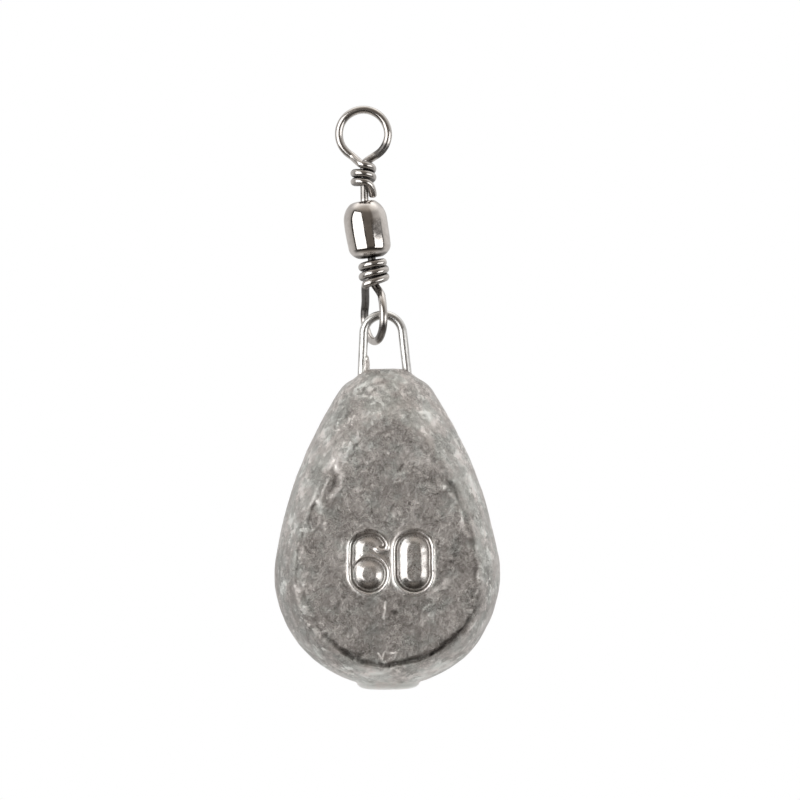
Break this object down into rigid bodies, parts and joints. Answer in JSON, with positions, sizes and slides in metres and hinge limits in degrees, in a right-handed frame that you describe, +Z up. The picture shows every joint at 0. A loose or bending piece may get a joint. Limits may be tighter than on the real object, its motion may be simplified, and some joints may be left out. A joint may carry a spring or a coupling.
{
  "type": "fishing sinker",
  "caption": "Flattened pear-shaped lead sinker with a stamped number, hung by a cast-in wire loop from a barrel swivel whose eye takes the line.",
  "frame": {"origin": "middle of the upper eye's ring, where the line is tied and from which the sinker hangs", "axes": "+Z up along the hanging line, +X to the right as the stamped front is read, the stamped front faces -Y"},
  "size_m": [0.0214, 0.0122, 0.0554],
  "materials": {
    "lead": "dull grey cast lead, pitted and scuffed",
    "loop_wire": "bright drawn steel wire",
    "barrel_metal": "polished nickel plate",
    "eye_wire": "bright nickel-plated wire"
  },
  "bodies": {
    "upper_eye": {"upper_eye": "eye_wire"},
    "barrel": {"swivel_barrel": "barrel_metal"},
    "lower_eye": {"lower_eye": "eye_wire"},
    "sinker": {"sinker_body": "lead", "wire_loop": "loop_wire"}
  },
  "joints": [
    {"name": "upper_swivel", "type": "hinge", "parent": "upper_eye", "child": "barrel", "pos_m": [0.00011, 0, -0.00675], "axis": [-0.0157, 0, 0.9999], "continuous": true},
    {"name": "lower_swivel", "type": "hinge", "parent": "barrel", "child": "lower_eye", "pos_m": [0.00077, 0, -0.0115], "axis": [-0.0384, 0, 0.9993], "continuous": true},
    {"name": "link_swing", "type": "hinge", "parent": "lower_eye", "child": "sinker", "pos_m": [0.001, 0, -0.01735], "axis": [0.9198, 0.3907, 0.0353], "range_deg": [-118, 128]}
  ]
}
